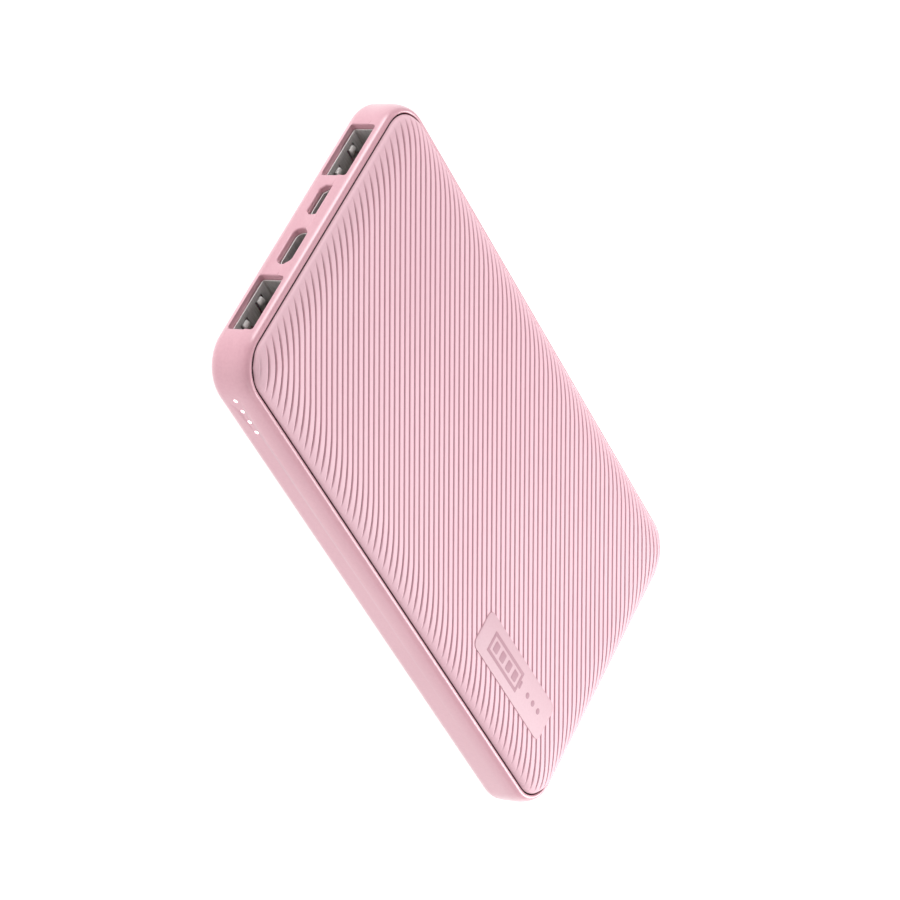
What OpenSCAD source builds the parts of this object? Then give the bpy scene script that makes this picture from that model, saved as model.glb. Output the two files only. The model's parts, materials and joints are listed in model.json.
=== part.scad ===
// Flat USB power bank: a smooth tray closed by a soft-shouldered cover, four sockets
// at the near end, four indicator lights on one long side.
// Millimetres. The bank lies on its back, sockets towards -Y, lights on +X, cover up.

/* [Body] */
// Width across the two long sides
body_width = 73; // [66:0.5:80]
// Length from the socket end to the far end
body_length = 137.5; // [120:0.5:150]
// Thickness from the back to the crest of the cover
body_thickness = 11.9; // [11:0.1:16]
// Plan radius of the four upright corners
corner_radius = 8.6; // [7:0.1:12]
// Rounding where the back meets the sides
back_rounding = 2.6; // [1:0.1:2.7]
// Height of the tray's rim, where the seam runs
rim_height = 9.4; // [9:0.1:10]
// How far the rim rolls inwards
rim_roll = 1.25; // [0.5:0.05:1.3]
// Height over which the rim rolls inwards
rim_roll_height = 3.3; // [1:0.1:3.5]
// Distance from the side to the inner edge of the rim
rim_inset = 1.65; // [1.6:0.05:1.8]
// Thickness of the tray's floor
floor_thickness = 1.6; // [1.2:0.1:1.8]
// Thickness of the tray's walls below the ledge
wall_thickness = 2.6; // [2.2:0.1:3]
// Height of the ledge that carries the cover's skirt
ledge_height = 7.4; // [7:0.1:7.6]

/* [Cover] */
// Open gap of the seam between rim and cover
seam_gap = 0.35; // [0.1:0.05:0.4]
// Thickness of the cover's plate
cover_thickness = 1.7; // [1.4:0.1:2]
// Thickness of the cover's skirt
skirt_thickness = 1.2; // [1:0.1:1.4]
// Length of one snap along the skirt
snap_length = 8; // [4:0.5:12]
// How far a snap stands out of the skirt
snap_reach = 0.65; // [0.5:0.05:0.7]

/* [Badge] */
// Width of the badge
badge_width = 9; // [6:0.1:12]
// Length of the badge
badge_length = 32; // [20:0.5:40]
// Corner radius of the badge
badge_corner = 1.6; // [0.5:0.1:3]
// Distance of the badge from the long centre line
badge_x = 22.25; // [0:0.05:23]
// Distance of the badge from the short centre line
badge_y = 38.7; // [0:0.1:45]

/* [Sockets] */
// Depth of each socket's metal edge behind the end face
socket_recess = 1.2; // [0.8:0.1:2.4]
// Across position of the USB-A socket on the button side
usb_a_first_x = -19.3; // [-22:0.05:-18]
// Across position of the USB-A socket on the light side
usb_a_second_x = 19.95; // [18:0.05:21]
// Height of the USB-A centre line
usb_a_z = 5.1; // [5:0.05:5.2]
// Across position of the micro-USB socket
micro_x = -6.15; // [-7:0.05:-5]
// Height of the micro-USB centre line
micro_z = 5.35; // [5.3:0.05:5.6]
// Across position of the USB-C socket
usb_c_x = 5.75; // [5:0.05:6]
// Height of the USB-C centre line
usb_c_z = 5.65; // [5.6:0.05:5.7]
// Free play between a metal shell and its cutout, each side
cutout_play = 0.1; // [0.05:0.05:0.2]

/* [Lights and button] */
// Distance of the first light from the socket end
light_start = 8.95; // [8:0.05:10]
// Spacing of the lights
light_pitch = 2.88; // [2.5:0.05:3]
// Height of the lights
light_z = 4.75; // [4.6:0.05:5]
// Diameter of a light hole
light_hole = 0.9; // [0.7:0.05:1.4]
// Distance of the button from the socket end
button_start = 18.75; // [16:0.25:20]
// Length of the button
button_length = 10; // [8:0.5:12]
// Width of the button
button_width = 2.8; // [2:0.1:3]
// How far the button stands proud of the side
button_proud = 0.4; // [0.3:0.05:0.6]

/* [Hidden] */
$fn = 48;

half_width = body_width / 2;
half_length = body_length / 2;
arc_steps = 12;
bite = 0.5;                        // how far cutters run past a face

// skirt and cover
skirt_inset = rim_inset + seam_gap;
cover_radius = corner_radius - skirt_inset;
cover_rise = body_thickness - rim_height;
cover_under = body_thickness - cover_thickness;
skirt_inner_radius = cover_radius - skirt_thickness;
cavity_radius = corner_radius - wall_thickness;
under_run = 4;                     // run of the shoulder inside the cover
under_rise = 2;                    // rise of the shoulder inside the cover
snap_height = 1;
snap_z = 8.4;
snap_play = 0.2;
snap_rows = [-30, 10, 50];

// badge
badge_thickness = 0.8;
badge_sunk = 0.6;                  // depth of its pocket below the crest
badge_play = 0.05;

// USB-A
usb_a_width = 13.2;
usb_a_height = 5.5;
usb_a_depth = 14;
metal = 0.3;                       // sheet thickness of every shell
usb_a_corner = 0.6;
window_width = 2.6;
window_length = 5.2;
window_offset = 2.95;              // of each window from the socket's centre line
window_start = 1.2;                // behind the shell's front edge
spring_width = 1.5;
spring_tip = 2.4;                  // dimple centre behind the shell's front edge
spring_radius = 1.1;
spring_rise = 0.6;                 // of the dimple above its plate
tongue_width = 11.1;
tongue_height = 1.84;
tongue_start = 3.1;                // behind the shell's front edge
tongue_gap = 0.35;                 // between the tongue and the upper plate
block_length = 4;
contact_width = 1;
contact_thickness = 0.15;
contact_offsets = [-3.5, -1, 1, 3.5];

// USB-C and micro-USB
usb_c_width = 8.9;
usb_c_height = 3.2;
usb_c_depth = 7.3;
usb_c_tongue = [6.6, 4.6, 0.7];
usb_c_tongue_start = 1.3;
micro_width = 7.3;
micro_height = 2.4;
micro_depth = 5.6;
micro_bevel = 0.9;
micro_tongue = [3.8, 3.6, 0.6];
micro_tongue_start = 0.9;

// board
board_top = 4;
board_thickness = 1;
board_front = -66;
board_back = -47;
board_half = 32.3;
board_corner = 5.5;
notch_play = 0.2;
post_radius = 2.3;
pilot_radius = 0.9;
screw_spots = [[-29.2, -58.4], [29.2, -58.4], [0, -51.5]];
screw_head_radius = 1.85;
screw_head_height = 1.2;
screw_shank_radius = 0.8;
screw_tip = 1.7;

// lights
light_y = -half_length + light_start;
led_size = [1, 1.6, 1.5];
led_x = board_half - 0.1 - led_size[0];
guide_radius = light_hole / 2 - 0.05;
guide_inner_x = board_half + 0.2;

// button and switch
button_y = -half_length + button_start;
button_z = 5;
button_play = 0.2;
button_flange = [0.8, 12.4, 4.4];
flange_play = 0.1;
wall_inner_x = half_width - wall_thickness;
switch_size = [3.5, 6, 3.2];
switch_x = -32.2;
plunger_radius = 0.8;
plunger_z = 5.5;
plunger_reach = 0.7;
plunger_sunk = 1.2;

// cell
cell_size = [63, 103, 7.4];
cell_y = -41.5;
cell_z = 2;
cell_edge = 3;
terrace = [58, 4.6, 0.8];
terrace_z = 5.3;
tab_size = [5, 3.4, 0.2];
tab_x = 12;
lead_radius = 0.8;
lead_y = -50.5;
foam_size = [50, 12];

function sweep(cx, cz, rx, rz, a0, a1) =
    [for (i = [0:arc_steps]) let (a = a0 + (a1 - a0) * i / arc_steps) [cx + rx * cos(a), cz + rz * sin(a)]];

// outer edge of the tray, measured from the corner's upright axis
tray_edge = concat(
    [[0, 0]],
    sweep(corner_radius - back_rounding, back_rounding, back_rounding, back_rounding, -90, 0),
    sweep(corner_radius - rim_roll, rim_height - rim_roll_height, rim_roll, rim_roll_height, 0, 90),
    [[0, rim_height]]
);
// outer edge of the cover, shoulder and skirt
cover_edge = concat(
    [[0, ledge_height], [cover_radius, ledge_height]],
    sweep(0, rim_height, cover_radius, cover_rise, 0, 90)
);
// hollow under the cover
hollow_edge = concat(
    [[0, ledge_height - bite], [skirt_inner_radius, ledge_height - bite]],
    sweep(skirt_inner_radius - under_run, cover_under - under_rise, under_run, under_rise, 0, 90),
    [[0, cover_under]]
);

// A rounded rectangular slab whose whole outer edge follows one profile.
module edged_slab(edge, radius, inset) {
    run_x = half_width - inset - radius;
    run_y = half_length - inset - radius;
    for (turn = [0:1]) {
        across = turn == 0 ? run_x : run_y;
        along = turn == 0 ? run_y : run_x;
        rotate([90, 0, turn * 90]) linear_extrude(height = 2 * along, center = true) {
            for (side = [0, 1]) mirror([side, 0]) {
                translate([across, 0]) polygon(edge);
            }
            bottom = min([for (p = edge) p[1]]);
            top = max([for (p = edge) p[1]]);
            translate([-across, bottom]) square([2 * across, top - bottom]);
        }
    }
    for (sx = [0, 1], sy = [0, 1]) mirror([sx, 0, 0]) mirror([0, sy, 0])
        translate([run_x, run_y, 0]) rotate_extrude(angle = 90) polygon(edge);
}

module rounded_rect(size, radius) {
    square([size[0] - 2 * radius, size[1]], center = true);
    square([size[0], size[1] - 2 * radius], center = true);
    for (sx = [-1, 1], sy = [-1, 1])
        translate([sx * (size[0] / 2 - radius), sy * (size[1] / 2 - radius)]) circle(radius);
}

module pill(size) {
    square([size[0] - size[1], size[1]], center = true);
    for (side = [-1, 1]) translate([side * (size[0] - size[1]) / 2, 0]) circle(size[1] / 2);
}

// A solid that runs back from the end face, its outline drawn facing the sockets.
module run_back(x, y, z, depth) {
    translate([x, y + depth, z]) rotate([90, 0, 0]) linear_extrude(height = depth) children();
}

module micro_outline(grow) {
    w = micro_width / 2 + grow;
    h = micro_height / 2 + grow;
    polygon([[-w, h], [w, h], [w, -h + micro_bevel], [w - micro_bevel, -h], [micro_bevel - w, -h], [-w, -h + micro_bevel]]);
}

module socket_cutouts() {
    front = -half_length - bite;
    depth = wall_thickness + 2 * bite;
    for (x = [usb_a_first_x, usb_a_second_x])
        run_back(x, front, usb_a_z, depth)
            rounded_rect([usb_a_width + 2 * cutout_play, usb_a_height + 2 * cutout_play], usb_a_corner);
    run_back(usb_c_x, front, usb_c_z, depth)
        pill([usb_c_width + 2 * cutout_play, usb_c_height + 2 * cutout_play]);
    run_back(micro_x, front, micro_z, depth) micro_outline(cutout_play);
}

module light_row(radius, from_x, to_x) {
    for (i = [0:3]) translate([from_x, light_y + i * light_pitch, light_z])
        rotate([0, 90, 0]) cylinder(h = to_x - from_x, r = radius);
}

module button_outline(grow) {
    pill([button_length + 2 * grow, button_width + 2 * grow]);
}

// A solid that runs along X from the button side, its outline drawn facing the button.
module run_across(from_x, to_x, y, z) {
    translate([from_x, y, z]) rotate([90, 0, 90]) linear_extrude(height = to_x - from_x) children();
}

module snap_row(length, height, reach) {
    for (side = [0, 1], y = snap_rows) mirror([side, 0, 0])
        translate([half_width - skirt_inset - bite, y - length / 2, snap_z - height / 2])
            cube([bite + reach, length, height]);
}

module tray() {
    post_height = board_top - board_thickness - floor_thickness;
    color("#E8BAC6") difference() {
        union() {
            difference() {
                edged_slab(tray_edge, corner_radius, 0);
                translate([0, 0, floor_thickness]) linear_extrude(height = rim_height)
                    rounded_rect([body_width - 2 * wall_thickness, body_length - 2 * wall_thickness], cavity_radius);
                translate([0, 0, ledge_height]) linear_extrude(height = rim_height)
                    rounded_rect([body_width - 2 * rim_inset, body_length - 2 * rim_inset], corner_radius - rim_inset);
            }
            for (spot = screw_spots) translate([spot[0], spot[1], floor_thickness - bite])
                cylinder(h = post_height + bite, r = post_radius);
            for (x = [-28.5, 28.5], y = [cell_y - 1.6, cell_y + cell_size[1] + 1.6])
                translate([x, y, floor_thickness - bite + 1.5]) cube([5, 1.2, 3 + 2 * bite], center = true);
        }
        socket_cutouts();
        light_row(light_hole / 2, wall_inner_x - bite, half_width + bite);
        run_across(-half_width - bite, -wall_inner_x + bite, button_y, button_z) button_outline(button_play);
        snap_row(snap_length + 2 * snap_play, snap_height + 2 * snap_play, snap_reach + snap_play);
        for (spot = screw_spots) translate([spot[0], spot[1], floor_thickness - bite])
            cylinder(h = post_height + 2 * bite, r = pilot_radius);
    }
}

module cover() {
    color("#F3CDD7") difference() {
        union() {
            difference() {
                edged_slab(cover_edge, cover_radius, skirt_inset);
                edged_slab(hollow_edge, skirt_inner_radius, skirt_inset + skirt_thickness);
            }
            snap_row(snap_length, snap_height, snap_reach);
        }
        for (x = [usb_a_first_x, usb_a_second_x])
            translate([x - usb_a_width / 2 - notch_play, -half_length, ledge_height - bite])
                cube([usb_a_width + 2 * notch_play, 2 * wall_thickness, usb_a_z + usb_a_height / 2 + notch_play - ledge_height + bite]);
        translate([badge_x, badge_y, body_thickness - badge_sunk]) linear_extrude(height = 1)
            rounded_rect([badge_width + 2 * badge_play, badge_length + 2 * badge_play], badge_corner);
    }
}

module badge() {
    color("#F0D0D8") translate([badge_x, badge_y, body_thickness - badge_sunk])
        linear_extrude(height = badge_thickness) rounded_rect([badge_width, badge_length], badge_corner);
}

module light_guides() {
    color("#FFFFFF") light_row(guide_radius, guide_inner_x, half_width);
}

module usb_a_shell(x) {
    front = -half_length + socket_recess;
    plate = usb_a_z - usb_a_height / 2;
    color("#A9A9AA") {
        difference() {
            run_back(x, front, usb_a_z, usb_a_depth) rounded_rect([usb_a_width, usb_a_height], usb_a_corner);
            run_back(x, front - bite, usb_a_z, usb_a_depth + 2 * bite)
                rounded_rect([usb_a_width - 2 * metal, usb_a_height - 2 * metal], usb_a_corner - metal);
            for (side = [-1, 1])
                translate([x + side * window_offset - window_width / 2, front + window_start, plate - bite])
                    cube([window_width, window_length, metal + 2 * bite]);
        }
        for (side = [-1, 1]) translate([x + side * window_offset, 0, 0]) {
            translate([-spring_width / 2, front + spring_tip, plate])
                cube([spring_width, window_start + window_length - spring_tip + 0.2, metal]);
            intersection() {
                translate([-spring_width / 2, front + spring_tip, plate + metal + spring_rise - spring_radius])
                    rotate([0, 90, 0]) cylinder(h = spring_width, r = spring_radius);
                translate([-spring_width / 2, front + spring_tip - spring_radius, plate])
                    cube([spring_width, 2 * spring_radius, 2 * spring_radius]);
            }
        }
    }
}

module usb_a_insert(x) {
    front = -half_length + socket_recess;
    inner_top = usb_a_z + usb_a_height / 2 - metal;
    color("#1E1E20") {
        translate([x - tongue_width / 2, front + tongue_start, inner_top - tongue_gap - tongue_height])
            cube([tongue_width, usb_a_depth - tongue_start, tongue_height]);
        run_back(x, front + usb_a_depth - block_length, usb_a_z, block_length)
            rounded_rect([usb_a_width - 2 * metal - 0.1, usb_a_height - 2 * metal - 0.1], usb_a_corner - metal);
    }
}

module usb_a_contacts(x) {
    front = -half_length + socket_recess;
    under = usb_a_z + usb_a_height / 2 - metal - tongue_gap - tongue_height;
    color("#D8B56A") for (offset = contact_offsets)
        translate([x + offset - contact_width / 2, front + tongue_start + 0.5, under - contact_thickness])
            cube([contact_width, usb_a_depth - tongue_start - block_length - 0.6, contact_thickness]);
}

module usb_c_shell() {
    front = -half_length + socket_recess;
    color("#B4B4B6") difference() {
        run_back(usb_c_x, front, usb_c_z, usb_c_depth) pill([usb_c_width, usb_c_height]);
        run_back(usb_c_x, front - bite, usb_c_z, usb_c_depth + 2 * bite)
            pill([usb_c_width - 2 * metal, usb_c_height - 2 * metal]);
    }
}

module usb_c_insert() {
    front = -half_length + socket_recess;
    color("#1E1E20") {
        translate([usb_c_x - usb_c_tongue[0] / 2, front + usb_c_tongue_start, usb_c_z - usb_c_tongue[2] / 2])
            cube([usb_c_tongue[0], usb_c_depth - usb_c_tongue_start, usb_c_tongue[2]]);
        run_back(usb_c_x, front + usb_c_tongue_start + usb_c_tongue[1], usb_c_z, usb_c_depth - usb_c_tongue_start - usb_c_tongue[1])
            pill([usb_c_width - 2 * metal - 0.1, usb_c_height - 2 * metal - 0.1]);
    }
}

module micro_usb_shell() {
    front = -half_length + socket_recess;
    color("#B4B4B6") difference() {
        run_back(micro_x, front, micro_z, micro_depth) micro_outline(0);
        run_back(micro_x, front - bite, micro_z, micro_depth + 2 * bite) micro_outline(-metal);
    }
}

module micro_usb_insert() {
    front = -half_length + socket_recess;
    color("#1E1E20") {
        translate([micro_x - micro_tongue[0] / 2, front + micro_tongue_start, micro_z + 0.1])
            cube([micro_tongue[0], micro_depth - micro_tongue_start, micro_tongue[2]]);
        run_back(micro_x, front + micro_tongue_start + micro_tongue[1], micro_z, micro_depth - micro_tongue_start - micro_tongue[1])
            micro_outline(-metal - 0.05);
    }
}

module main_board() {
    notch_depth = -half_length + socket_recess + usb_a_depth + notch_play - board_front;
    color("#2E5B3C") difference() {
        translate([0, (board_front + board_back) / 2, board_top - board_thickness])
            linear_extrude(height = board_thickness) difference() {
                rounded_rect([2 * board_half, board_back - board_front], board_corner);
                for (x = [usb_a_first_x, usb_a_second_x])
                    translate([x, (board_front - board_back) / 2])
                        square([usb_a_width + 2 * notch_play, 2 * notch_depth], center = true);
            }
        for (spot = screw_spots) translate([spot[0], spot[1], 0]) cylinder(h = 2 * board_top, r = pilot_radius);
    }
}

module board_screws() {
    color("#8C8E92") for (spot = screw_spots) translate([spot[0], spot[1], 0]) {
        difference() {
            translate([0, 0, board_top]) cylinder(h = screw_head_height, r = screw_head_radius);
            for (turn = [0, 90]) rotate(turn) translate([-1.1, -0.2, board_top + 0.6]) cube([2.2, 0.4, 1]);
        }
        translate([0, 0, screw_tip]) cylinder(h = board_top - screw_tip + 0.1, r = screw_shank_radius);
    }
}

module indicator_leds() {
    color("#F4F1DC") for (i = [0:3])
        translate([led_x, light_y + i * light_pitch - led_size[1] / 2, board_top]) cube(led_size);
}

module control_chips() {
    color("#222325") {
        translate([-9.6, -52.6, board_top]) cube([5, 5, 0.9]);
        translate([-2.6, -59, board_top]) cube([4, 4, 0.8]);
        translate([27.2, -53.5, board_top]) cube([3, 4, 1]);
    }
}

module power_inductor() {
    color("#3A3B3E") translate([7.4, -55.2, board_top]) linear_extrude(height = 3) rounded_rect([6.8, 6.8], 1);
}

module capacitors() {
    color("#B99B74") for (spot = [[-10.6, -59.6], [-8, -59.6], [-10.6, -56.4], [-8, -56.4], [-23, -50.2], [20, -50.2]])
        translate([spot[0], spot[1], board_top]) cube([1.6, 2.4, 1.2]);
}

module power_button() {
    inner = -wall_inner_x + flange_play;
    color("#E8BAC6") {
        run_across(-half_width - button_proud, inner + button_flange[0], button_y, button_z) button_outline(0);
        translate([inner, button_y - button_flange[1] / 2, button_z - button_flange[2] / 2]) cube(button_flange);
    }
}

module tact_switch() {
    color("#2A2B2D") difference() {
        translate([switch_x, button_y - switch_size[1] / 2, board_top]) cube(switch_size);
        translate([switch_x - bite, button_y, plunger_z]) rotate([0, 90, 0])
            cylinder(h = bite + plunger_sunk + 0.4, r = plunger_radius + 0.05);
    }
}

module tact_plunger() {
    color("#D9D7CF") translate([switch_x - plunger_reach, button_y, plunger_z]) rotate([0, 90, 0])
        cylinder(h = plunger_reach + plunger_sunk, r = plunger_radius);
}

module battery_cell() {
    color("#C9CDD3") {
        translate([0, cell_y + cell_size[1], cell_z + cell_size[2] / 2]) rotate([90, 0, 0])
            linear_extrude(height = cell_size[1]) rounded_rect([cell_size[0], cell_size[2]], cell_edge);
        translate([-terrace[0] / 2, cell_y - terrace[1], terrace_z]) cube([terrace[0], terrace[1] + 1, terrace[2]]);
    }
}

module cell_foam() {
    color("#3B3C40") for (y = [-22, 10, 42]) translate([-foam_size[0] / 2, y - foam_size[1] / 2, 0]) {
        translate([0, 0, floor_thickness]) cube([foam_size[0], foam_size[1], cell_z - floor_thickness]);
        translate([0, 0, cell_z + cell_size[2]]) cube([foam_size[0], foam_size[1], cover_under - cell_z - cell_size[2] - 0.05]);
    }
}

module cell_tabs() {
    color("#C9C4B8") for (x = [-tab_x, tab_x])
        translate([x - tab_size[0] / 2, cell_y - terrace[1] - 1, terrace_z + terrace[2]]) cube(tab_size);
}

module lead(x) {
    wire_z = terrace_z + terrace[2] + tab_size[2] + lead_radius;
    translate([x, lead_y, wire_z]) rotate([-90, 0, 0]) cylinder(h = cell_y - terrace[1] - lead_y, r = lead_radius);
    translate([x, lead_y, wire_z]) sphere(lead_radius);
    translate([x, lead_y, board_top]) cylinder(h = wire_z - board_top, r = lead_radius);
}

module lead_positive() {
    color("#B3262B") lead(tab_x);
}

module lead_negative() {
    color("#1B1B1D") lead(-tab_x);
}

tray();
cover();
badge();
light_guides();
usb_a_shell(usb_a_first_x);  // usb_a_shell_1
usb_a_insert(usb_a_first_x);  // usb_a_insert_1
usb_a_contacts(usb_a_first_x);  // usb_a_contacts_1
usb_a_shell(usb_a_second_x);  // usb_a_shell_2
usb_a_insert(usb_a_second_x);  // usb_a_insert_2
usb_a_contacts(usb_a_second_x);  // usb_a_contacts_2
usb_c_shell();
usb_c_insert();
micro_usb_shell();
micro_usb_insert();
main_board();
board_screws();
indicator_leds();
control_chips();
power_inductor();
capacitors();
power_button();
tact_switch();
tact_plunger();
battery_cell();
cell_foam();
cell_tabs();
lead_positive();
lead_negative();
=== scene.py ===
import json
import math

import bmesh
import bpy
import numpy as np
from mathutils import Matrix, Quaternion, Vector


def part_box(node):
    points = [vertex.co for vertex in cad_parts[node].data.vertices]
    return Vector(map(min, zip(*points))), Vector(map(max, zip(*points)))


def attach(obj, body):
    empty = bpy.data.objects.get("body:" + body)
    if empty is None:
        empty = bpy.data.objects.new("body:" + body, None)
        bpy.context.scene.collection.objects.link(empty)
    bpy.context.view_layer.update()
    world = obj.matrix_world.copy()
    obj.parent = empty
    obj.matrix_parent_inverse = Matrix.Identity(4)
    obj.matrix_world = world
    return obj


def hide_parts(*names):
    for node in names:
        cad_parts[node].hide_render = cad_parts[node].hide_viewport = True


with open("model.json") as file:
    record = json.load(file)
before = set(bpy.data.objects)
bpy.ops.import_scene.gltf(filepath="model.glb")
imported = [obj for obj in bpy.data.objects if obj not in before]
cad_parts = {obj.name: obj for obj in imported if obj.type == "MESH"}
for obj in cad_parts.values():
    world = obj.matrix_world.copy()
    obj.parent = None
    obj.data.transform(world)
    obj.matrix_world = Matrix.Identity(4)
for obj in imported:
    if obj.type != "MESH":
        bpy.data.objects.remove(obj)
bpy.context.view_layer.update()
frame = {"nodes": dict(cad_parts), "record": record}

MM = 0.001
scene = bpy.context.scene
nodes = frame["nodes"]

# Sizes of the case in millimetres. The bank lies on its back, sockets towards -Y.
HALF_WIDTH, HALF_LENGTH = 36.5, 68.75
CORNER = 8.6
CREST = 11.9  # top of the cover
RIM_HEIGHT = 9.4  # top of the tray's rim, where the seam runs
LEDGE_HEIGHT = 7.4  # bottom of the cover's skirt
SEAM_INSET = 2.0  # from the sides to the cover's outline
SHOULDER_RUN = 7.5  # from the outline to where the cover turns flat
SKIRT_THICKNESS = 1.2
COVER_THICKNESS = 1.7  # at the crest
SEAM_WALL = 0.45  # the tray's seam wall stands less than this outside the cover's outline
SEAM_SHADE_DEPTH = 0.12  # below the rim, where the painted shade of the seam starts

# The skirt steps up where it passes over the metal shells of the two USB-A sockets.
USB_A_CENTRES = (-19.3, 19.95)
NOTCH_HALF_WIDTH, NOTCH_HEIGHT = 7.6, 8.1

# The shells' front rims, and the band of height taken up by the springs in their lower plates.
SHELL_FRONT = -67.55
SPRING_HEIGHTS = (2.7, 3.4)

# The grooves run at 45 degrees, a little over half a millimetre wide, with smooth cover left round them.
GROOVE_SPACING = 1.624  # middle to middle
GROOVE_WIDTH = 0.56
GROOVE_DEPTH = 0.85
GROOVE_LIP = 0.05  # mesh line beside each groove, which keeps the ridge flat
RIDGE_CROWN = 0.02  # how far a ridge rises from a groove's lip to its middle
FIRST_GROOVE = -0.201  # middle of the groove nearest the centre of the bank
SMOOTH_MARGIN = 0.4  # plain cover beside the seam
FADE_LENGTH = 5.0  # over which a groove reaches its full depth
ACROSS = Vector((1, -1, 0)).normalized()
ALONG = Vector((1, 1, 0)).normalized()

COVER_COLUMNS = 84  # mesh points along each groove
PAST_THE_COVER, HALVINGS = 130.0, 40  # where the search for the end of a line starts, and its steps
COVER_TOUCHING = 0.002  # points of the cover closer than this, in mm, are one point
TOUCHING = 0.0005  # points closer than this, in mm, are one point
NEAR = 0.01  # an edge this close to a plane lies in it
SOCKET_ROUNDING = 0.3  # round the openings in the tray
SHELL_ROUNDING = 0.07  # on the front rims of the metal shells


# ---------------------------------------------------------------- camera

def place_camera():
    """A long lens that looks down on the lights and the sockets, turned so the bank stands on its corner."""
    aim = Vector((-3.30, -0.31, 2.55)) * MM
    azimuth, elevation, roll = math.radians(38.68), math.radians(35.50), math.radians(94.01)
    distance = 0.71798
    level = math.cos(elevation)
    back = Vector((math.sin(azimuth) * level, -math.cos(azimuth) * level, math.sin(elevation)))
    camera = bpy.data.objects.new("camera", bpy.data.cameras.new("camera"))
    scene.collection.objects.link(camera)
    camera.data.sensor_width = 36
    camera.data.lens = 144.48
    camera.data.clip_start = 0.01
    camera.rotation_mode = "QUATERNION"
    camera.location = aim + back * distance
    camera.rotation_quaternion = (-back).to_track_quat("-Z", "Y") @ Quaternion((0, 0, 1), roll)
    scene.camera = camera


# ---------------------------------------------------------------- materials

def colour(hex_value):
    """An sRGB hex colour as the linear values a shader wants."""
    channels = [int(hex_value[i:i + 2], 16) / 255 for i in (1, 3, 5)]
    return tuple(c / 12.92 if c <= 0.04045 else ((c + 0.055) / 1.055) ** 2.4 for c in channels) + (1.0,)


def add(tree, kind, links=(), inputs=(), **settings):
    """One node with its settings, its input values and its links {input: (node, output)}."""
    node = tree.nodes.new(kind)
    for name, value in settings.items():
        setattr(node, name, value)
    for name, value in dict(inputs).items():
        node.inputs[name].default_value = value
    for name, source in dict(links).items():
        tree.links.new(source[0].outputs[source[1]], node.inputs[name])
    return node


# The sockets of a mix node when it mixes colours.
MIX_FROM, MIX_TO, MIX_RESULT = 6, 7, 2


def start_material(name):
    """An empty material with its output, surface shader and object coordinates."""
    material = bpy.data.materials.new(name)
    material.use_nodes = True
    tree = material.node_tree
    tree.nodes.clear()
    shader = add(tree, "ShaderNodeBsdfPrincipled")
    add(tree, "ShaderNodeOutputMaterial", {"Surface": (shader, "BSDF")})
    place = add(tree, "ShaderNodeTexCoord")
    return material, tree, shader, place


def moulded_plastic(name, face_hex, deep_hex, roughness, grain_mm=0.28, grain_height=0.012, sheen=0.0,
                    coat=0.0, groove_hex=None):
    """Spark-textured moulded plastic: a fine even grain breaks up the gloss, and the colour drifts a little
    where the melt flowed. A painted shade can be given for the channels that carry a groove value."""
    material, tree, shader, place = start_material(name)
    spot = {"Vector": (place, "Object")}
    flow = add(tree, "ShaderNodeTexNoise", spot, {"Scale": 1 / (22 * MM), "Detail": 2.0})
    speck = add(tree, "ShaderNodeTexNoise", spot, {"Scale": 1 / (0.55 * MM), "Detail": 1.0})
    drift = add(tree, "ShaderNodeMath", {0: (flow, "Fac"), 1: (speck, "Fac")}, {2: 0.25},
                operation="MULTIPLY_ADD")
    ramp = add(tree, "ShaderNodeValToRGB", {"Fac": (drift, "Value")})
    deep, face = ramp.color_ramp.elements
    deep.position, deep.color = 0.36, colour(deep_hex)
    face.position, face.color = 0.62, colour(face_hex)
    paint = ramp.outputs["Color"]
    if groove_hex:
        groove = add(tree, "ShaderNodeAttribute", attribute_name="groove")
        mixed = add(tree, "ShaderNodeMix", {"Factor": (groove, "Fac")}, data_type="RGBA")
        tree.links.new(paint, mixed.inputs[MIX_FROM])
        mixed.inputs[MIX_TO].default_value = colour(groove_hex)
        paint = mixed.outputs[MIX_RESULT]
    tree.links.new(paint, shader.inputs["Base Color"])
    gloss = add(tree, "ShaderNodeMapRange", {"Value": (speck, "Fac")},
                {"To Min": roughness - 0.04, "To Max": roughness + 0.05})
    tree.links.new(gloss.outputs["Result"], shader.inputs["Roughness"])
    grain = add(tree, "ShaderNodeTexNoise", spot, {"Scale": 1 / (grain_mm * MM), "Detail": 2.0})
    bump = add(tree, "ShaderNodeBump", {"Height": (grain, "Fac")},
               {"Strength": 0.35, "Distance": grain_height * MM})
    tree.links.new(bump.outputs["Normal"], shader.inputs["Normal"])
    shader.inputs["IOR"].default_value = 1.5
    shader.inputs["Sheen Weight"].default_value = sheen
    shader.inputs["Sheen Roughness"].default_value = 0.5
    shader.inputs["Coat Weight"].default_value = coat
    shader.inputs["Coat Roughness"].default_value = 0.3
    return material


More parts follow.
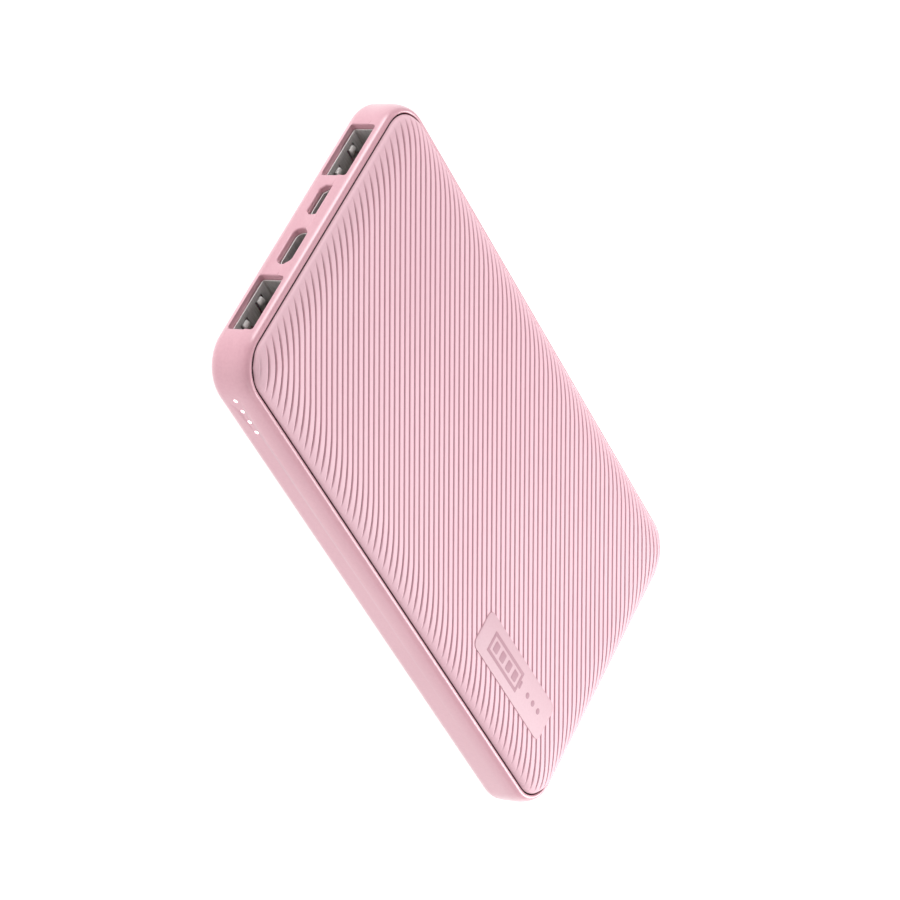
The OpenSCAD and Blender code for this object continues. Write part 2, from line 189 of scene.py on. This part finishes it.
def plated_steel(name, face_hex, deep_hex, roughness=0.3, brush_mm=(3.0, 0.12)):
    """Rolled sheet with bright plating: metal, with draw lines of the given length and width that stretch
    the highlights one way."""
    material, tree, shader, place = start_material(name)
    length, width = brush_mm
    stretch = add(tree, "ShaderNodeMapping", {"Vector": (place, "Object")},
                  {"Scale": (1 / (width * MM), 1 / (length * MM), 1 / (width * MM))})
    lines = add(tree, "ShaderNodeTexNoise", {"Vector": (stretch, "Vector")}, {"Scale": 1.0, "Detail": 3.0})
    ramp = add(tree, "ShaderNodeValToRGB", {"Fac": (lines, "Fac")})
    deep, face = ramp.color_ramp.elements
    deep.position, deep.color = 0.3, colour(deep_hex)
    face.position, face.color = 0.7, colour(face_hex)
    tree.links.new(ramp.outputs["Color"], shader.inputs["Base Color"])
    gloss = add(tree, "ShaderNodeMapRange", {"Value": (lines, "Fac")},
                {"To Min": roughness - 0.08, "To Max": roughness + 0.1})
    tree.links.new(gloss.outputs["Result"], shader.inputs["Roughness"])
    bump = add(tree, "ShaderNodeBump", {"Height": (lines, "Fac")}, {"Strength": 0.2, "Distance": 0.004 * MM})
    tree.links.new(bump.outputs["Normal"], shader.inputs["Normal"])
    shader.inputs["Metallic"].default_value = 1.0
    return material


def lit_lens(name, core_hex, glow):
    """Clear acrylic lit from behind: a bright white, a little cloudy from lens to lens."""
    material, tree, shader, place = start_material(name)
    cloud = add(tree, "ShaderNodeTexNoise", {"Vector": (place, "Object")},
                {"Scale": 1 / (1.2 * MM), "Detail": 1.0})
    strength = add(tree, "ShaderNodeMapRange", {"Value": (cloud, "Fac")},
                   {"To Min": 0.8 * glow, "To Max": 1.2 * glow})
    tree.links.new(strength.outputs["Result"], shader.inputs["Emission Strength"])
    shader.inputs["Emission Color"].default_value = colour(core_hex)
    shader.inputs["Base Color"].default_value = colour(core_hex)
    shader.inputs["Roughness"].default_value = 0.25
    return material


def woven_board(name, mask_hex, weave_hex):
    """Green solder mask over glass cloth: glossy, with the cloth's half-millimetre weave just showing."""
    material, tree, shader, place = start_material(name)
    weave = add(tree, "ShaderNodeTexChecker", {"Vector": (place, "Object")},
                {"Scale": 1 / (0.5 * MM), "Color1": colour(mask_hex), "Color2": colour(weave_hex)})
    tree.links.new(weave.outputs["Color"], shader.inputs["Base Color"])
    bump = add(tree, "ShaderNodeBump", {"Height": (weave, "Fac")}, {"Strength": 0.2, "Distance": 0.01 * MM})
    tree.links.new(bump.outputs["Normal"], shader.inputs["Normal"])
    shader.inputs["Roughness"].default_value = 0.32
    return material


# Painted shade. The real plastic is one pink all through, but channels this thin come out too pale in a
# render, so a dark rose is painted into the seam and, by depth, into the grooves. Leave it out where the
# shade is worked out some other way.
SEAM_SHADE = "#7A3040"
GROOVE_SHADE = "#381520"

# ABS moulded in a polished tool: broad soft highlights on the sides and a bright line along each edge.
PINK_TRAY = moulded_plastic("satin_abs_tray", "#E8AEBB", "#E3A7B5", 0.34, sheen=0.25, coat=0.8,
                            groove_hex=SEAM_SHADE)
# The same ABS moulded in a duller tool: an even pale pink on which the grooves show as dark lines.
PINK_COVER = moulded_plastic("satin_abs_cover", "#F8CCD7", "#F6C7D3", 0.54, groove_hex=GROOVE_SHADE)
# Smooth moulded ABS, a shade deeper than the cover, so that the plate stands apart from the ridges.
PINK_BADGE = moulded_plastic("satin_abs_badge", "#DAB0BB", "#D6AAB5", 0.45)
# Ink printed on the plate: a flat dusky rose.
PINK_MARK = moulded_plastic("pad_print_rose", "#B98594", "#B47E8D", 0.5)
# Rolled sheet with nickel plating: pale grey inside the sockets, its highlights blurred.
STEEL = plated_steel("nickel_plated_steel", "#F2F1F0", "#D6D4D2", 0.6)
# Spring strips of the shells' own plated steel, paler and a little glossier: the paler colour on their upward
# faces is a painted highlight for the light their dimples catch, so they are the lightest spots inside the
# sockets.
SPRING_HIGHLIGHT_STEEL = plated_steel("spring_steel_painted_highlight", "#FAF9F7", "#E6E4E1", 0.5)
# Rolled bronze flashed with gold: a small warm glint on the tongues.
GOLD_CONTACT = plated_steel("gold_flashed_bronze", "#E2BE76", "#C79E55", 0.25)
# Moulded nylon: nearly black, which makes a socket look deep.
BLACK_MOULDING = moulded_plastic("black_nylon_tongue", "#1C1C1E", "#141416", 0.5)

FINISHES = {
    "tray": PINK_TRAY,
    "cover": PINK_COVER,
    "badge": PINK_BADGE,
    # Polished acrylic with a chip light behind it: the whitest spots on the bank.
    "light_guides": lit_lens("lit_acrylic", "#FFFFFF", 1.6),
    "socket_shell": STEEL,
    "socket_insert": BLACK_MOULDING,
    "socket_contacts": GOLD_CONTACT,
    # Woven glass cloth under mask: glossy green with a faint check.
    "board": woven_board("solder_mask_green", "#1F5A38", "#246341"),
    # Zinc-plated steel: darker and bluer than the shells.
    "screws": plated_steel("zinc_plated_steel", "#A9ABAF", "#85878B", 0.35),
    # Epoxy cast over a chip: pale yellow with a clear shine.
    "leds": moulded_plastic("epoxy_led", "#F4EFC8", "#EEE6B4", 0.3),
    # Moulded epoxy: matt and nearly black.
    "chips": moulded_plastic("chip_epoxy", "#232326", "#1B1B1E", 0.6),
    # Pressed ferrite: dull dark grey.
    "inductor": moulded_plastic("ferrite", "#3B3A3D", "#2E2E31", 0.55),
    # Fired ceramic: tan with a slight shine.
    "capacitors": moulded_plastic("ceramic_capacitor", "#B8946A", "#A9845C", 0.35),
    "button": PINK_TRAY,
    "switch": BLACK_MOULDING,
    # Moulded acetal: ivory and a little waxy.
    "plunger": moulded_plastic("acetal_plunger", "#DDD9CE", "#D2CEC2", 0.4),
    # Rolled foil bonded to film: silver with long soft streaks.
    "cell": plated_steel("aluminium_pouch_foil", "#D5D8DC", "#BCC0C6", 0.35, (6.0, 0.8)),
    # Blown foam: matt black with a coarse grain.
    "foam": moulded_plastic("black_foam", "#2B2B2E", "#1E1E21", 0.9, 0.6, 0.12),
    # Rolled nickel strip: a warm pale grey with fine streaks.
    "tabs": plated_steel("nickel_tab", "#CFC9BC", "#B2AC9F"),
    # Extruded silicone over wire: strong red with a soft shine.
    "lead_red": moulded_plastic("silicone_red", "#B3262B", "#A31F26", 0.45),
    # The same sheath in black.
    "lead_black": moulded_plastic("silicone_black", "#1B1B1D", "#141416", 0.45),
}


def finish_node(name, slot_name):
    """Gives a carried-over part its finish."""
    mesh = nodes[name].data
    mesh.materials.clear()
    mesh.materials.append(FINISHES[slot_name])


# ---------------------------------------------------------------- shapes

def new_piece(name, mesh, material, body, slot_name, *stands_for):
    """Links a finished mesh, already in place, to the scene and its body, and hides the parts it stands for.
    """
    piece = bpy.data.objects.new(name, mesh)
    scene.collection.objects.link(piece)
    if not mesh.materials:
        mesh.materials.append(material)
    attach(piece, body)
    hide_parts(*stands_for)
    return piece


def rounded_ring(width, length, radius, steps=10):
    """Points of a rounded rectangle round the origin, anticlockwise."""
    ring = []
    for corner, (sx, sy) in enumerate(((1, 1), (-1, 1), (-1, -1), (1, -1))):
        for step in range(steps + 1):
            angle = math.radians(90 * corner + 90 * step / steps)
            ring.append((sx * (width / 2 - radius) + radius * math.cos(angle),
                         sy * (length / 2 - radius) + radius * math.sin(angle)))
    return ring


def smooth_mesh(bm, name, sharp_degrees):
    """The finished mesh: faces outwards, smooth shading, edges sharper than the given angle kept crisp."""
    bmesh.ops.recalc_face_normals(bm, faces=bm.faces)
    for face in bm.faces:
        face.smooth = True
    mesh = bpy.data.meshes.new(name)
    bm.to_mesh(mesh)
    bm.free()
    mesh.set_sharp_from_angle(angle=math.radians(sharp_degrees))
    return mesh


def stack_rings(name, rings):
    """A skin over rings of equal length, capped at both ends, faces outwards."""
    bm = bmesh.new()
    rows = [[bm.verts.new(Vector(p) * MM) for p in ring] for ring in rings]
    count = len(rows[0])
    for low, high in zip(rows, rows[1:]):
        for i in range(count):
            bm.faces.new((low[i], low[(i + 1) % count], high[(i + 1) % count], high[i]))
    bm.faces.new(rows[0][::-1])
    bm.faces.new(rows[-1])
    bmesh.ops.remove_doubles(bm, verts=bm.verts, dist=TOUCHING * MM)
    return smooth_mesh(bm, name, 35)


def edge_inset(x, y):
    """Distance in mm from the cover's outline, inwards."""
    half_w, half_l, radius = HALF_WIDTH - SEAM_INSET, HALF_LENGTH - SEAM_INSET, CORNER - SEAM_INSET
    qx = np.abs(x) - (half_w - radius)
    qy = np.abs(y) - (half_l - radius)
    outside = np.hypot(np.maximum(qx, 0), np.maximum(qy, 0))
    return radius - outside - np.minimum(np.maximum(qx, qy), 0)


def soft_copy(node_name, width, chosen, segments=3):
    """A copy of a carried-over part in which the chosen sharp edges are rounded over."""
    bm = bmesh.new()
    bm.from_mesh(nodes[node_name].data)
    bmesh.ops.remove_doubles(bm, verts=bm.verts, dist=TOUCHING * MM)
    sharp = math.radians(50)
    edges = [e for e in bm.edges if len(e.link_faces) == 2 and e.calc_face_angle() > sharp and chosen(e)]
    bmesh.ops.bevel(bm, geom=edges, offset=width * MM, offset_type="OFFSET", segments=segments, profile=0.5,
                    affect="EDGES", clamp_overlap=False)
    bmesh.ops.triangulate(bm, faces=[f for f in bm.faces if len(f.verts) > 4])
    return smooth_mesh(bm, "soft_" + node_name, 30)


def on_socket_end(edge):
    """Whether an edge lies in the flat end face, round a socket."""
    return all(v.co.y < (NEAR - HALF_LENGTH) * MM for v in edge.verts)


def at_mouth(edge):
    """Whether an edge lies on the front rim of a socket's metal shell."""
    return all(v.co.y < (NEAR + SHELL_FRONT) * MM for v in edge.verts)


def soft_shells():
    """The metal shells with their front rims broken to a fine bright edge."""
    for part in ("usb_a_shell_1", "usb_a_shell_2", "usb_c_shell", "micro_usb_shell"):
        mesh = soft_copy(part, SHELL_ROUNDING, at_mouth, 2)
        mesh.materials.clear()
        mesh.materials.append(STEEL)
        if part.startswith("usb_a"):
            mesh.materials.append(SPRING_HIGHLIGHT_STEEL)
            # Upward faces of the springs take the paler steel: a painted highlight.
            for face in mesh.polygons:
                if SPRING_HEIGHTS[0] < face.center.z / MM < SPRING_HEIGHTS[1] and face.normal.z > 0.1:
                    face.material_index = 1
        new_piece("soft_" + part, mesh, STEEL, "case", "socket_shell", part)


CAP_LENGTH, CAP_WIDTH = 10.0, 2.8
# The cap's rounded brow: depth from its face, and how much the pill has grown there.
CAP_BROW = ((0.0, -0.55), (0.05, -0.25), (0.18, -0.07), (0.35, 0.0))
FLANGE_LENGTH, FLANGE_WIDTH, FLANGE_CORNER = 12.4, 4.4, 0.4
FLANGE_THICKNESS, FLANGE_CHAMFER = 0.8, 0.1


def power_button():
    """A pill-shaped cap with a rounded brow, on the flange that keeps it in the case."""
    low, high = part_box("power_button")
    centre_y, centre_z = (low.y + high.y) / 2 / MM, (low.z + high.z) / 2 / MM
    face_x, back_x = low.x / MM, high.x / MM
    flange_x = back_x - FLANGE_THICKNESS
    outlines = []
    for depth, grow in CAP_BROW:
        pill = rounded_ring(CAP_LENGTH + 2 * grow, CAP_WIDTH + 2 * grow, CAP_WIDTH / 2 + grow)
        outlines.append((face_x + depth, pill))
    outlines.append((flange_x - 0.02, rounded_ring(CAP_LENGTH, CAP_WIDTH, CAP_WIDTH / 2)))
    flange = rounded_ring(FLANGE_LENGTH, FLANGE_WIDTH, FLANGE_CORNER)
    chamfered = rounded_ring(FLANGE_LENGTH - 2 * FLANGE_CHAMFER, FLANGE_WIDTH - 2 * FLANGE_CHAMFER,
                             FLANGE_CORNER)
    outlines += [(flange_x, chamfered), (flange_x + FLANGE_CHAMFER, flange), (back_x, flange)]
    rings = [[(x, centre_y + y, centre_z + z) for y, z in outline] for x, outline in outlines]
    new_piece("button_cap", stack_rings("button_cap", rings), PINK_TRAY, "button", "button", "power_button")


def soft_tray():
    """The tray with a small moulded radius round every socket, and painted shade on its wall in the seam."""
    mesh = soft_copy("tray", SOCKET_ROUNDING, on_socket_end)
    shade = mesh.attributes.new("groove", "FLOAT", "CORNER")
    for face in mesh.polygons:
        x, y, z = face.center / MM
        faces_seam = edge_inset(x, y) > -SEAM_WALL and LEDGE_HEIGHT < z < RIM_HEIGHT
        if faces_seam and abs(face.normal.z) < 0.2:
            for corner in face.loop_indices:
                shade.data[corner].value = 1.0
    new_piece("soft_tray", mesh, PINK_TRAY, "case", "tray", "tray")


def shoulder_height(inset):
    """Height in mm of the plain cover at a distance from its outline: a quarter ellipse, then flat."""
    run = np.clip(1 - inset / SHOULDER_RUN, 0, 1)
    return RIM_HEIGHT + (CREST - RIM_HEIGHT) * np.sqrt(1 - run ** 2)


def groove_lines():
    """Offsets across the grooves at which the cover's mesh has a line, closer together in each groove."""
    half_w, half_l, radius = HALF_WIDTH - SEAM_INSET, HALF_LENGTH - SEAM_INSET, CORNER - SEAM_INSET
    reach = (half_w + half_l - 2 * radius) / math.sqrt(2) + radius
    half = GROOVE_WIDTH / 2
    lip = half + GROOVE_LIP
    steps = np.array([-lip, -half, -half / 2, 0, half / 2, half, lip, GROOVE_SPACING / 2])
    first = math.floor(-reach / GROOVE_SPACING)
    offsets = np.concatenate([FIRST_GROOVE + GROOVE_SPACING * k + steps for k in range(first, -first + 1)])
    inside = offsets[np.abs(offsets) < reach - 0.1]
    return np.concatenate([[-reach], inside, [reach]]), reach


def line_ends(offsets, reach):
    """Where each mesh line along the grooves starts and stops on the cover's outline, found by halving."""
    across, along = np.array(ACROSS[:2]), np.array(ALONG[:2])
    middle = (HALF_WIDTH - HALF_LENGTH) / math.sqrt(2) * offsets / reach
    ends = []
    for side in (-1, 1):
        low, high = np.zeros_like(offsets), np.full_like(offsets, PAST_THE_COVER)
        for _ in range(HALVINGS):
            half = (low + high) / 2
            point = offsets[:, None] * across + (middle + side * half)[:, None] * along
            inside = edge_inset(point[:, 0], point[:, 1]) > 0
            low, high = np.where(inside, half, low), np.where(inside, high, half)
        ends.append(middle + side * low)
    return ends


def drop_skirt(bm):
    """Draws the rim of the cover down to the ledge, in by the skirt's thickness and up to the hidden side."""
    rim = [e for e in bm.edges if e.is_boundary]
    for height, step_in in ((RIM_HEIGHT - SEAM_SHADE_DEPTH, 0.0), (LEDGE_HEIGHT, 0.0),
                            (LEDGE_HEIGHT, SKIRT_THICKNESS), (CREST - COVER_THICKNESS, 0.0)):
        made = bmesh.ops.extrude_edge_only(bm, edges=rim)["geom"]
        rim = [g for g in made if isinstance(g, bmesh.types.BMEdge)]
        for vert in (g for g in made if isinstance(g, bmesh.types.BMVert)):
            over_socket = min(abs(vert.co.x / MM - centre) for centre in USB_A_CENTRES) < NOTCH_HALF_WIDTH
            notched = height == LEDGE_HEIGHT and vert.co.y < 0 and over_socket
            vert.co.z = (NOTCH_HEIGHT if notched else height) * MM
            if step_in:
                vert.co.x *= 1 - step_in / (HALF_WIDTH - SEAM_INSET)
                vert.co.y *= 1 - step_in / (HALF_LENGTH - SEAM_INSET)
    bmesh.ops.contextual_create(bm, geom=rim)


def cover_blank():
    """The cover before its grooves are pressed: a pillow whose mesh lines follow the grooves, with its skirt.
    Each point carries its distance in mm from the outline."""
    offsets, reach = groove_lines()
    start, stop = line_ends(offsets, reach)
    even = np.linspace(0, 1, COVER_COLUMNS)
    share = 0.5 * even + 0.25 * (1 - np.cos(math.pi * even))  # closer together towards the outline
    v = start[:, None] + (stop - start)[:, None] * share
    x = offsets[:, None] * ACROSS.x + v * ALONG.x
    y = offsets[:, None] * ACROSS.y + v * ALONG.y
    z = shoulder_height(np.maximum(edge_inset(x, y), 0))
    rows = len(offsets)
    bm = bmesh.new()
    grid = [[bm.verts.new((x[i, j] * MM, y[i, j] * MM, z[i, j] * MM)) for j in range(COVER_COLUMNS)]
            for i in range(rows)]
    for i in range(rows - 1):
        for j in range(COVER_COLUMNS - 1):
            bm.faces.new((grid[i][j], grid[i + 1][j], grid[i + 1][j + 1], grid[i][j + 1]))
    bmesh.ops.remove_doubles(bm, verts=bm.verts, dist=COVER_TOUCHING * MM)
    drop_skirt(bm)
    bmesh.ops.recalc_face_normals(bm, faces=bm.faces)
    for face in bm.faces:
        face.smooth = True
    mesh = bpy.data.meshes.new("cover_blank")
    bm.to_mesh(mesh)
    bm.free()
    co = np.zeros(len(mesh.vertices) * 3)
    mesh.vertices.foreach_get("co", co)
    co = co.reshape(-1, 3) / MM
    margin = mesh.attributes.new("margin", "FLOAT", "POINT")
    on_face = np.where(co[:, 2] >= RIM_HEIGHT - NEAR, edge_inset(co[:, 0], co[:, 1]), 0.0)
    margin.data.foreach_set("value", on_face.astype(np.float32))
    return mesh


def groove_press():
    """A tree that presses parallel grooves into a skin and fades them out towards its margin."""
    tree = bpy.data.node_groups.new("press_grooves", "GeometryNodeTree")
    face = tree.interface
    face.new_socket("Geometry", in_out="INPUT", socket_type="NodeSocketGeometry")
    for name in ("Spacing", "Width", "Depth", "First", "Margin", "Fade", "Crown"):
        face.new_socket(name, in_out="INPUT", socket_type="NodeSocketFloat")
    face.new_socket("Across", in_out="INPUT", socket_type="NodeSocketVector")
    face.new_socket("Material", in_out="INPUT", socket_type="NodeSocketMaterial")
    face.new_socket("Geometry", in_out="OUTPUT", socket_type="NodeSocketGeometry")
    given = add(tree, "NodeGroupInput")
    here = add(tree, "GeometryNodeInputPosition")
    offset = add(tree, "ShaderNodeVectorMath", {0: (here, "Position"), 1: (given, "Across")},
                 operation="DOT_PRODUCT")
    from_first = add(tree, "ShaderNodeMath", {0: (offset, "Value"), 1: (given, "First")},
                     operation="SUBTRACT")
    half = add(tree, "ShaderNodeMath", {0: (given, "Spacing")}, {1: 0.5}, operation="MULTIPLY")
    distance = add(tree, "ShaderNodeMath", {0: (from_first, "Value"), 1: (half, "Value")},
                   operation="PINGPONG")
    margin = add(tree, "GeometryNodeInputNamedAttribute", inputs={"Name": "margin"}, data_type="FLOAT")
    fade_end = add(tree, "ShaderNodeMath", {0: (given, "Margin"), 1: (given, "Fade")}, operation="ADD")
    ease = add(tree, "ShaderNodeMapRange",
               {"Value": (margin, "Attribute"), "From Min": (given, "Margin"),
                "From Max": (fade_end, "Value")},
               {"To Min": 0.0, "To Max": 1.0}, interpolation_type="SMOOTHSTEP")
    fade = add(tree, "ShaderNodeMath", {0: (ease, "Result")}, {1: 0.5}, operation="POWER")
    open_up = add(tree, "ShaderNodeMapRange", {"Value": (fade, "Value")}, {"To Min": 0.3, "To Max": 0.5})
    half_width = add(tree, "ShaderNodeMath", {0: (given, "Width"), 1: (open_up, "Result")},
                     operation="MULTIPLY")
    channel = add(tree, "ShaderNodeMapRange",
                  {"Value": (distance, "Value"), "From Max": (half_width, "Value"),
                   "To Min": (given, "Depth")},
                  {"From Min": 0.0, "To Max": 0.0}, interpolation_type="SMOOTHSTEP")
    round_off = add(tree, "ShaderNodeMapRange",
                    {"Value": (distance, "Value"), "From Max": (half, "Value"), "To Min": (given, "Crown")},
                    {"From Min": 0.0, "To Max": 0.0}, interpolation_type="SMOOTHERSTEP")
    cut = add(tree, "ShaderNodeMath", {0: (channel, "Result"), 1: (round_off, "Result")}, operation="ADD")
    press = add(tree, "ShaderNodeMath", {0: (cut, "Value"), 1: (fade, "Value")}, operation="MULTIPLY")
    shade = add(tree, "ShaderNodeMapRange", {"Value": (press, "Value"), "From Max": (given, "Depth")})
    marked = add(tree, "GeometryNodeStoreNamedAttribute",
                 {"Geometry": (given, "Geometry"), "Value": (shade, "Result")}, {"Name": "groove"},
                 data_type="FLOAT", domain="POINT")
    inwards = add(tree, "ShaderNodeMath", {0: (press, "Value")}, {1: -1.0}, operation="MULTIPLY")
    facing = add(tree, "GeometryNodeInputNormal")
    move = add(tree, "ShaderNodeVectorMath", {0: (facing, "Normal"), "Scale": (inwards, "Value")},
               operation="SCALE")
    pressed = add(tree, "GeometryNodeSetPosition",
                  {"Geometry": (marked, "Geometry"), "Offset": (move, "Vector")})
    whole = add(tree, "GeometryNodeRealizeInstances", {"Geometry": (pressed, "Geometry")})
    painted = add(tree, "GeometryNodeSetMaterial",
                  {"Geometry": (whole, "Geometry"), "Material": (given, "Material")})
    add(tree, "NodeGroupOutput", {"Geometry": (painted, "Geometry")})
    return tree


def run_tree(mesh, tree, values, name):
    """Runs a tree once on a mesh with its named inputs set, and gives back the plain mesh."""
    holder = bpy.data.objects.new(name + "_source", mesh)
    scene.collection.objects.link(holder)
    modifier = holder.modifiers.new("tree", "NODES")
    modifier.node_group = tree
    for item in tree.interface.items_tree:
        if item.in_out == "INPUT" and item.name in values:
            modifier[item.identifier] = values[item.name]
    holder.update_tag()
    bpy.context.view_layer.update()
    depsgraph = bpy.context.evaluated_depsgraph_get()
    result = bpy.data.meshes.new_from_object(holder.evaluated_get(depsgraph))
    result.name = name
    bpy.data.objects.remove(holder)
    return result


def shade_seam(mesh):
    """Marks the part of the skirt that stands in the seam for painted shade, as if it were a groove."""
    co = np.zeros(len(mesh.vertices) * 3)
    mesh.vertices.foreach_get("co", co)
    shade = np.zeros(len(mesh.vertices), np.float32)
    mesh.attributes["groove"].data.foreach_get("value", shade)
    shade[co[2::3] < (RIM_HEIGHT - SEAM_SHADE_DEPTH + NEAR) * MM] = 1.0
    mesh.attributes["groove"].data.foreach_set("value", shade)


def grooved_cover():
    """The pink cover with its slanting grooves pressed in. The margin and the fade are in mm."""
    values = {"Spacing": GROOVE_SPACING * MM, "Width": GROOVE_WIDTH * MM, "Depth": GROOVE_DEPTH * MM,
              "First": FIRST_GROOVE * MM, "Margin": SMOOTH_MARGIN, "Fade": FADE_LENGTH,
              "Crown": RIDGE_CROWN * MM, "Across": ACROSS, "Material": PINK_COVER}
    mesh = run_tree(cover_blank(), groove_press(), values, "grooved_cover")
    mesh.set_sharp_from_angle(angle=math.radians(60))
    shade_seam(mesh)
    new_piece("grooved_cover", mesh, PINK_COVER, "case", "cover", "cover")


# ---------------------------------------------------------------- badge

BADGE_CENTRE = Vector((22.25, 38.7, 0))
BADGE_SIZE = (9.0, 32.0, 1.6)  # width, length, corner
BADGE_SUNK = 0.6  # how deep the plate sits in the cover
BADGE_TOP = CREST + 0.17
MARK_TOP = CREST + 0.2
PRINT_SUNK = 0.05  # the print starts this far inside the plate
FRAME_LENGTH, FRAME_WIDTH, FRAME_BAR = 14.0, 4.8, 0.75  # outline of the battery sign


def flat_plate(name, centre, size, bottom, top, rounding, material, slot_name, *stands_for):
    """A rounded plate with a soft upper edge."""
    width, length, radius = size
    rings = [[(centre.x + x, centre.y + y, bottom) for x, y in rounded_ring(width, length, radius)]]
    for step in range(5):
        angle = math.radians(90 * step / 4)
        pull = rounding * (1 - math.cos(angle))
        height = top - rounding + rounding * math.sin(angle)
        ring = rounded_ring(width - 2 * pull, length - 2 * pull, radius - pull)
        rings.append([(centre.x + x, centre.y + y, height) for x, y in ring])
    return new_piece(name, stack_rings(name, rings), material, "case", slot_name, *stands_for)


def badge():
    """The smooth plate let into the grooves."""
    flat_plate("badge_plate", BADGE_CENTRE, BADGE_SIZE, CREST - BADGE_SUNK, BADGE_TOP, 0.12, PINK_BADGE,
               "badge", "badge")


def badge_mark():
    """A plain battery sign and three dots, printed on the badge."""
    middle_x, frame_y = BADGE_CENTRE.x, BADGE_CENTRE.y - 4.6
    marks = []
    for side in (-1, 1):
        side_x = middle_x + side * (FRAME_WIDTH - FRAME_BAR) / 2
        end_y = frame_y + side * (FRAME_LENGTH - FRAME_BAR) / 2
        marks.append((side_x, frame_y, FRAME_BAR, FRAME_LENGTH, 0.2))
        marks.append((middle_x, end_y, FRAME_WIDTH - 2 * FRAME_BAR, FRAME_BAR, 0.02))
    marks.append((middle_x, frame_y + FRAME_LENGTH / 2 + 0.45, 1.8, 0.7, 0.3))
    for i in range(4):
        marks.append((middle_x, frame_y + (i - 1.5) * 3.0, FRAME_WIDTH - 2.6, 1.9, 0.3))
    for i in range(3):
        marks.append((middle_x, BADGE_CENTRE.y + 6.4 + i * 2.6, 1.3, 1.3, 0.64))
    for i, (x, y, width, length, radius) in enumerate(marks):
        flat_plate(f"badge_mark_{i + 1}", Vector((x, y, 0)), (width, length, radius), BADGE_TOP - PRINT_SUNK,
                   MARK_TOP, 0.015, PINK_MARK, "badge")


# ---------------------------------------------------------------- lights

LIGHT_COUNT = 4
# Outline of a lens: how far it stands out from the middle of the bank, and its share of the full radius.
LENS_OUTLINE = ((33.0, 1.0), (36.42, 1.0), (36.47, 0.92), (36.5, 0.7), (36.5, 0.35))


def light_lenses():
    """Clear lenses in a row, domed a little and flush with the side, lit from behind."""
    low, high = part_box("light_guides")
    radius = (high.z - low.z) / 2 / MM
    centre_z = (high.z + low.z) / 2 / MM
    first, last = low.y / MM + radius, high.y / MM - radius
    for i in range(LIGHT_COUNT):
        y = first + (last - first) * i / (LIGHT_COUNT - 1)
        rings = []
        for x, share in LENS_OUTLINE:
            rings.append([(x, y + share * radius * math.cos(a), centre_z + share * radius * math.sin(a))
                          for a in np.linspace(0, 2 * math.pi, 24, endpoint=False)])
        lens = stack_rings(f"light_lens_{i + 1}", rings)
        new_piece(f"light_lens_{i + 1}", lens, FINISHES["light_guides"], "case", "light_guides",
                  "light_guides")


# ---------------------------------------------------------------- floor and light

def stage():
    """A plain white floor that glows, so the bank throws no shadow on it."""
    floor = bpy.data.objects.new("floor", bpy.data.meshes.new("floor"))
    floor.data.from_pydata([(-6, -6, 0), (6, -6, 0), (6, 6, 0), (-6, 6, 0)], [], [(0, 1, 2, 3)])
    material, tree, shader, place = start_material("white_paper_sweep")
    fibre = add(tree, "ShaderNodeTexNoise", {"Vector": (place, "Object")}, {"Scale": 40.0, "Detail": 2.0})
    ramp = add(tree, "ShaderNodeValToRGB", {"Fac": (fibre, "Fac")})
    ramp.color_ramp.elements[0].color = colour("#FAFAFA")
    ramp.color_ramp.elements[1].color = colour("#FFFFFF")
    tree.links.new(ramp.outputs["Color"], shader.inputs["Emission Color"])
    shader.inputs["Emission Strength"].default_value = 1.0
    shader.inputs["Base Color"].default_value = colour("#7A7A7A")
    shader.inputs["Roughness"].default_value = 0.9
    floor.data.materials.append(material)
    scene.collection.objects.link(floor)


def soft_box(name, place, size, watts):
    """A flat rectangular lamp that faces the bank, its place and size in metres."""
    light = bpy.data.lights.new(name, "AREA")
    light.shape = "RECTANGLE"
    light.size, light.size_y = size
    light.energy = watts
    box = bpy.data.objects.new(name, light)
    box.location = place
    box.rotation_mode = "QUATERNION"
    box.rotation_quaternion = (-Vector(place)).to_track_quat("-Z", "Y")
    scene.collection.objects.link(box)


def light_scene():
    """An even white room, with lamps beyond the far end, towards the sockets and along the lit side."""
    world = bpy.data.worlds.new("room")
    world.use_nodes = True
    scene.world = world
    room = world.node_tree.nodes["Background"]
    room.inputs["Color"].default_value = colour("#FFFFFF")
    room.inputs["Strength"].default_value = 0.42
    scene.view_settings.view_transform = "Standard"
    soft_box("far_end", (-0.14, 0.6, 0.5), (0.5, 0.5), 5.9)
    soft_box("socket_panel", (-0.58, -0.92, 0.24), (0.34, 0.3), 4.6)
    soft_box("long_side", (1.1, 0.2, 0.5), (0.8, 0.5), 1.6)


for part in frame["record"]["subparts"]:
    finish_node(part["node"], part["material_slot"])
place_camera()
soft_tray()
soft_shells()
power_button()
grooved_cover()
badge()
badge_mark()
light_lenses()
stage()
light_scene()
